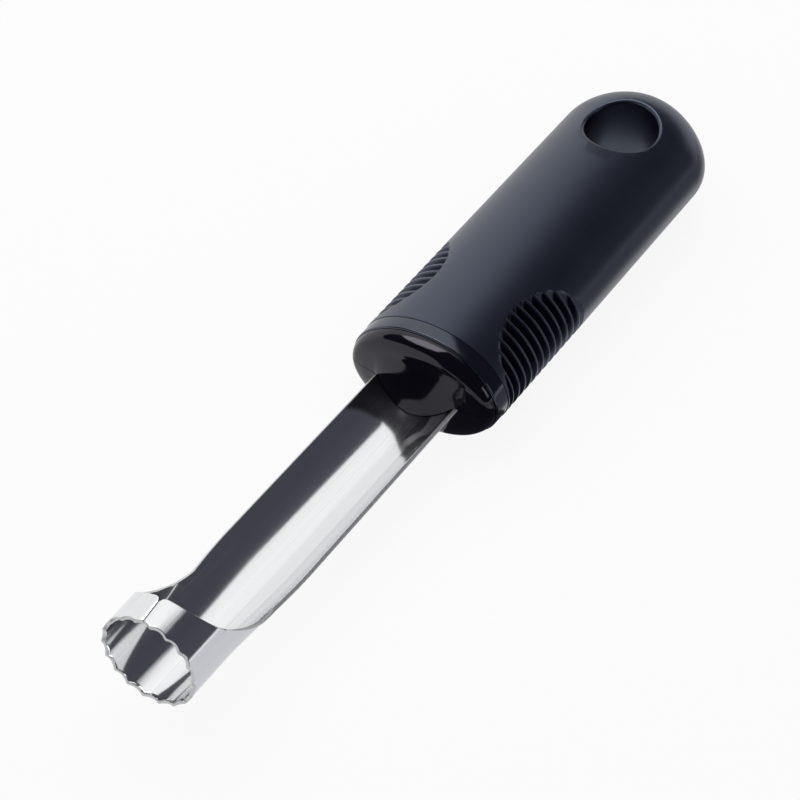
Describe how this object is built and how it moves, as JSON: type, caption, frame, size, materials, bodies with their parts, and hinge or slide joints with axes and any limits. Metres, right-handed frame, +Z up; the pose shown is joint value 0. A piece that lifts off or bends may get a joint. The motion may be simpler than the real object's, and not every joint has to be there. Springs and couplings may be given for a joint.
{
  "type": "apple corer",
  "caption": "Hand apple corer with a toothed steel ring and open channel rolled from sheet, set in an oval soft grip with finned finger pads and a hanging hole.",
  "frame": {"origin": "middle of the tool's length and width, on the surface that the grip's underside rests on", "axes": "+X from the grip towards the cutting rim, +Z up through the open side of the channel, +Y across"},
  "size_m": [0.1861, 0.0342, 0.0286],
  "materials": {
    "steel": "polished stainless with fine lengthwise lines",
    "core": "glossy black moulded plastic",
    "grip": "matte soft black rubber with a faint blue cast"
  },
  "bodies": {
    "root": {"blade": "steel", "core_upper": "core", "core_lower": "core", "grip": "grip"}
  },
  "joints": []
}
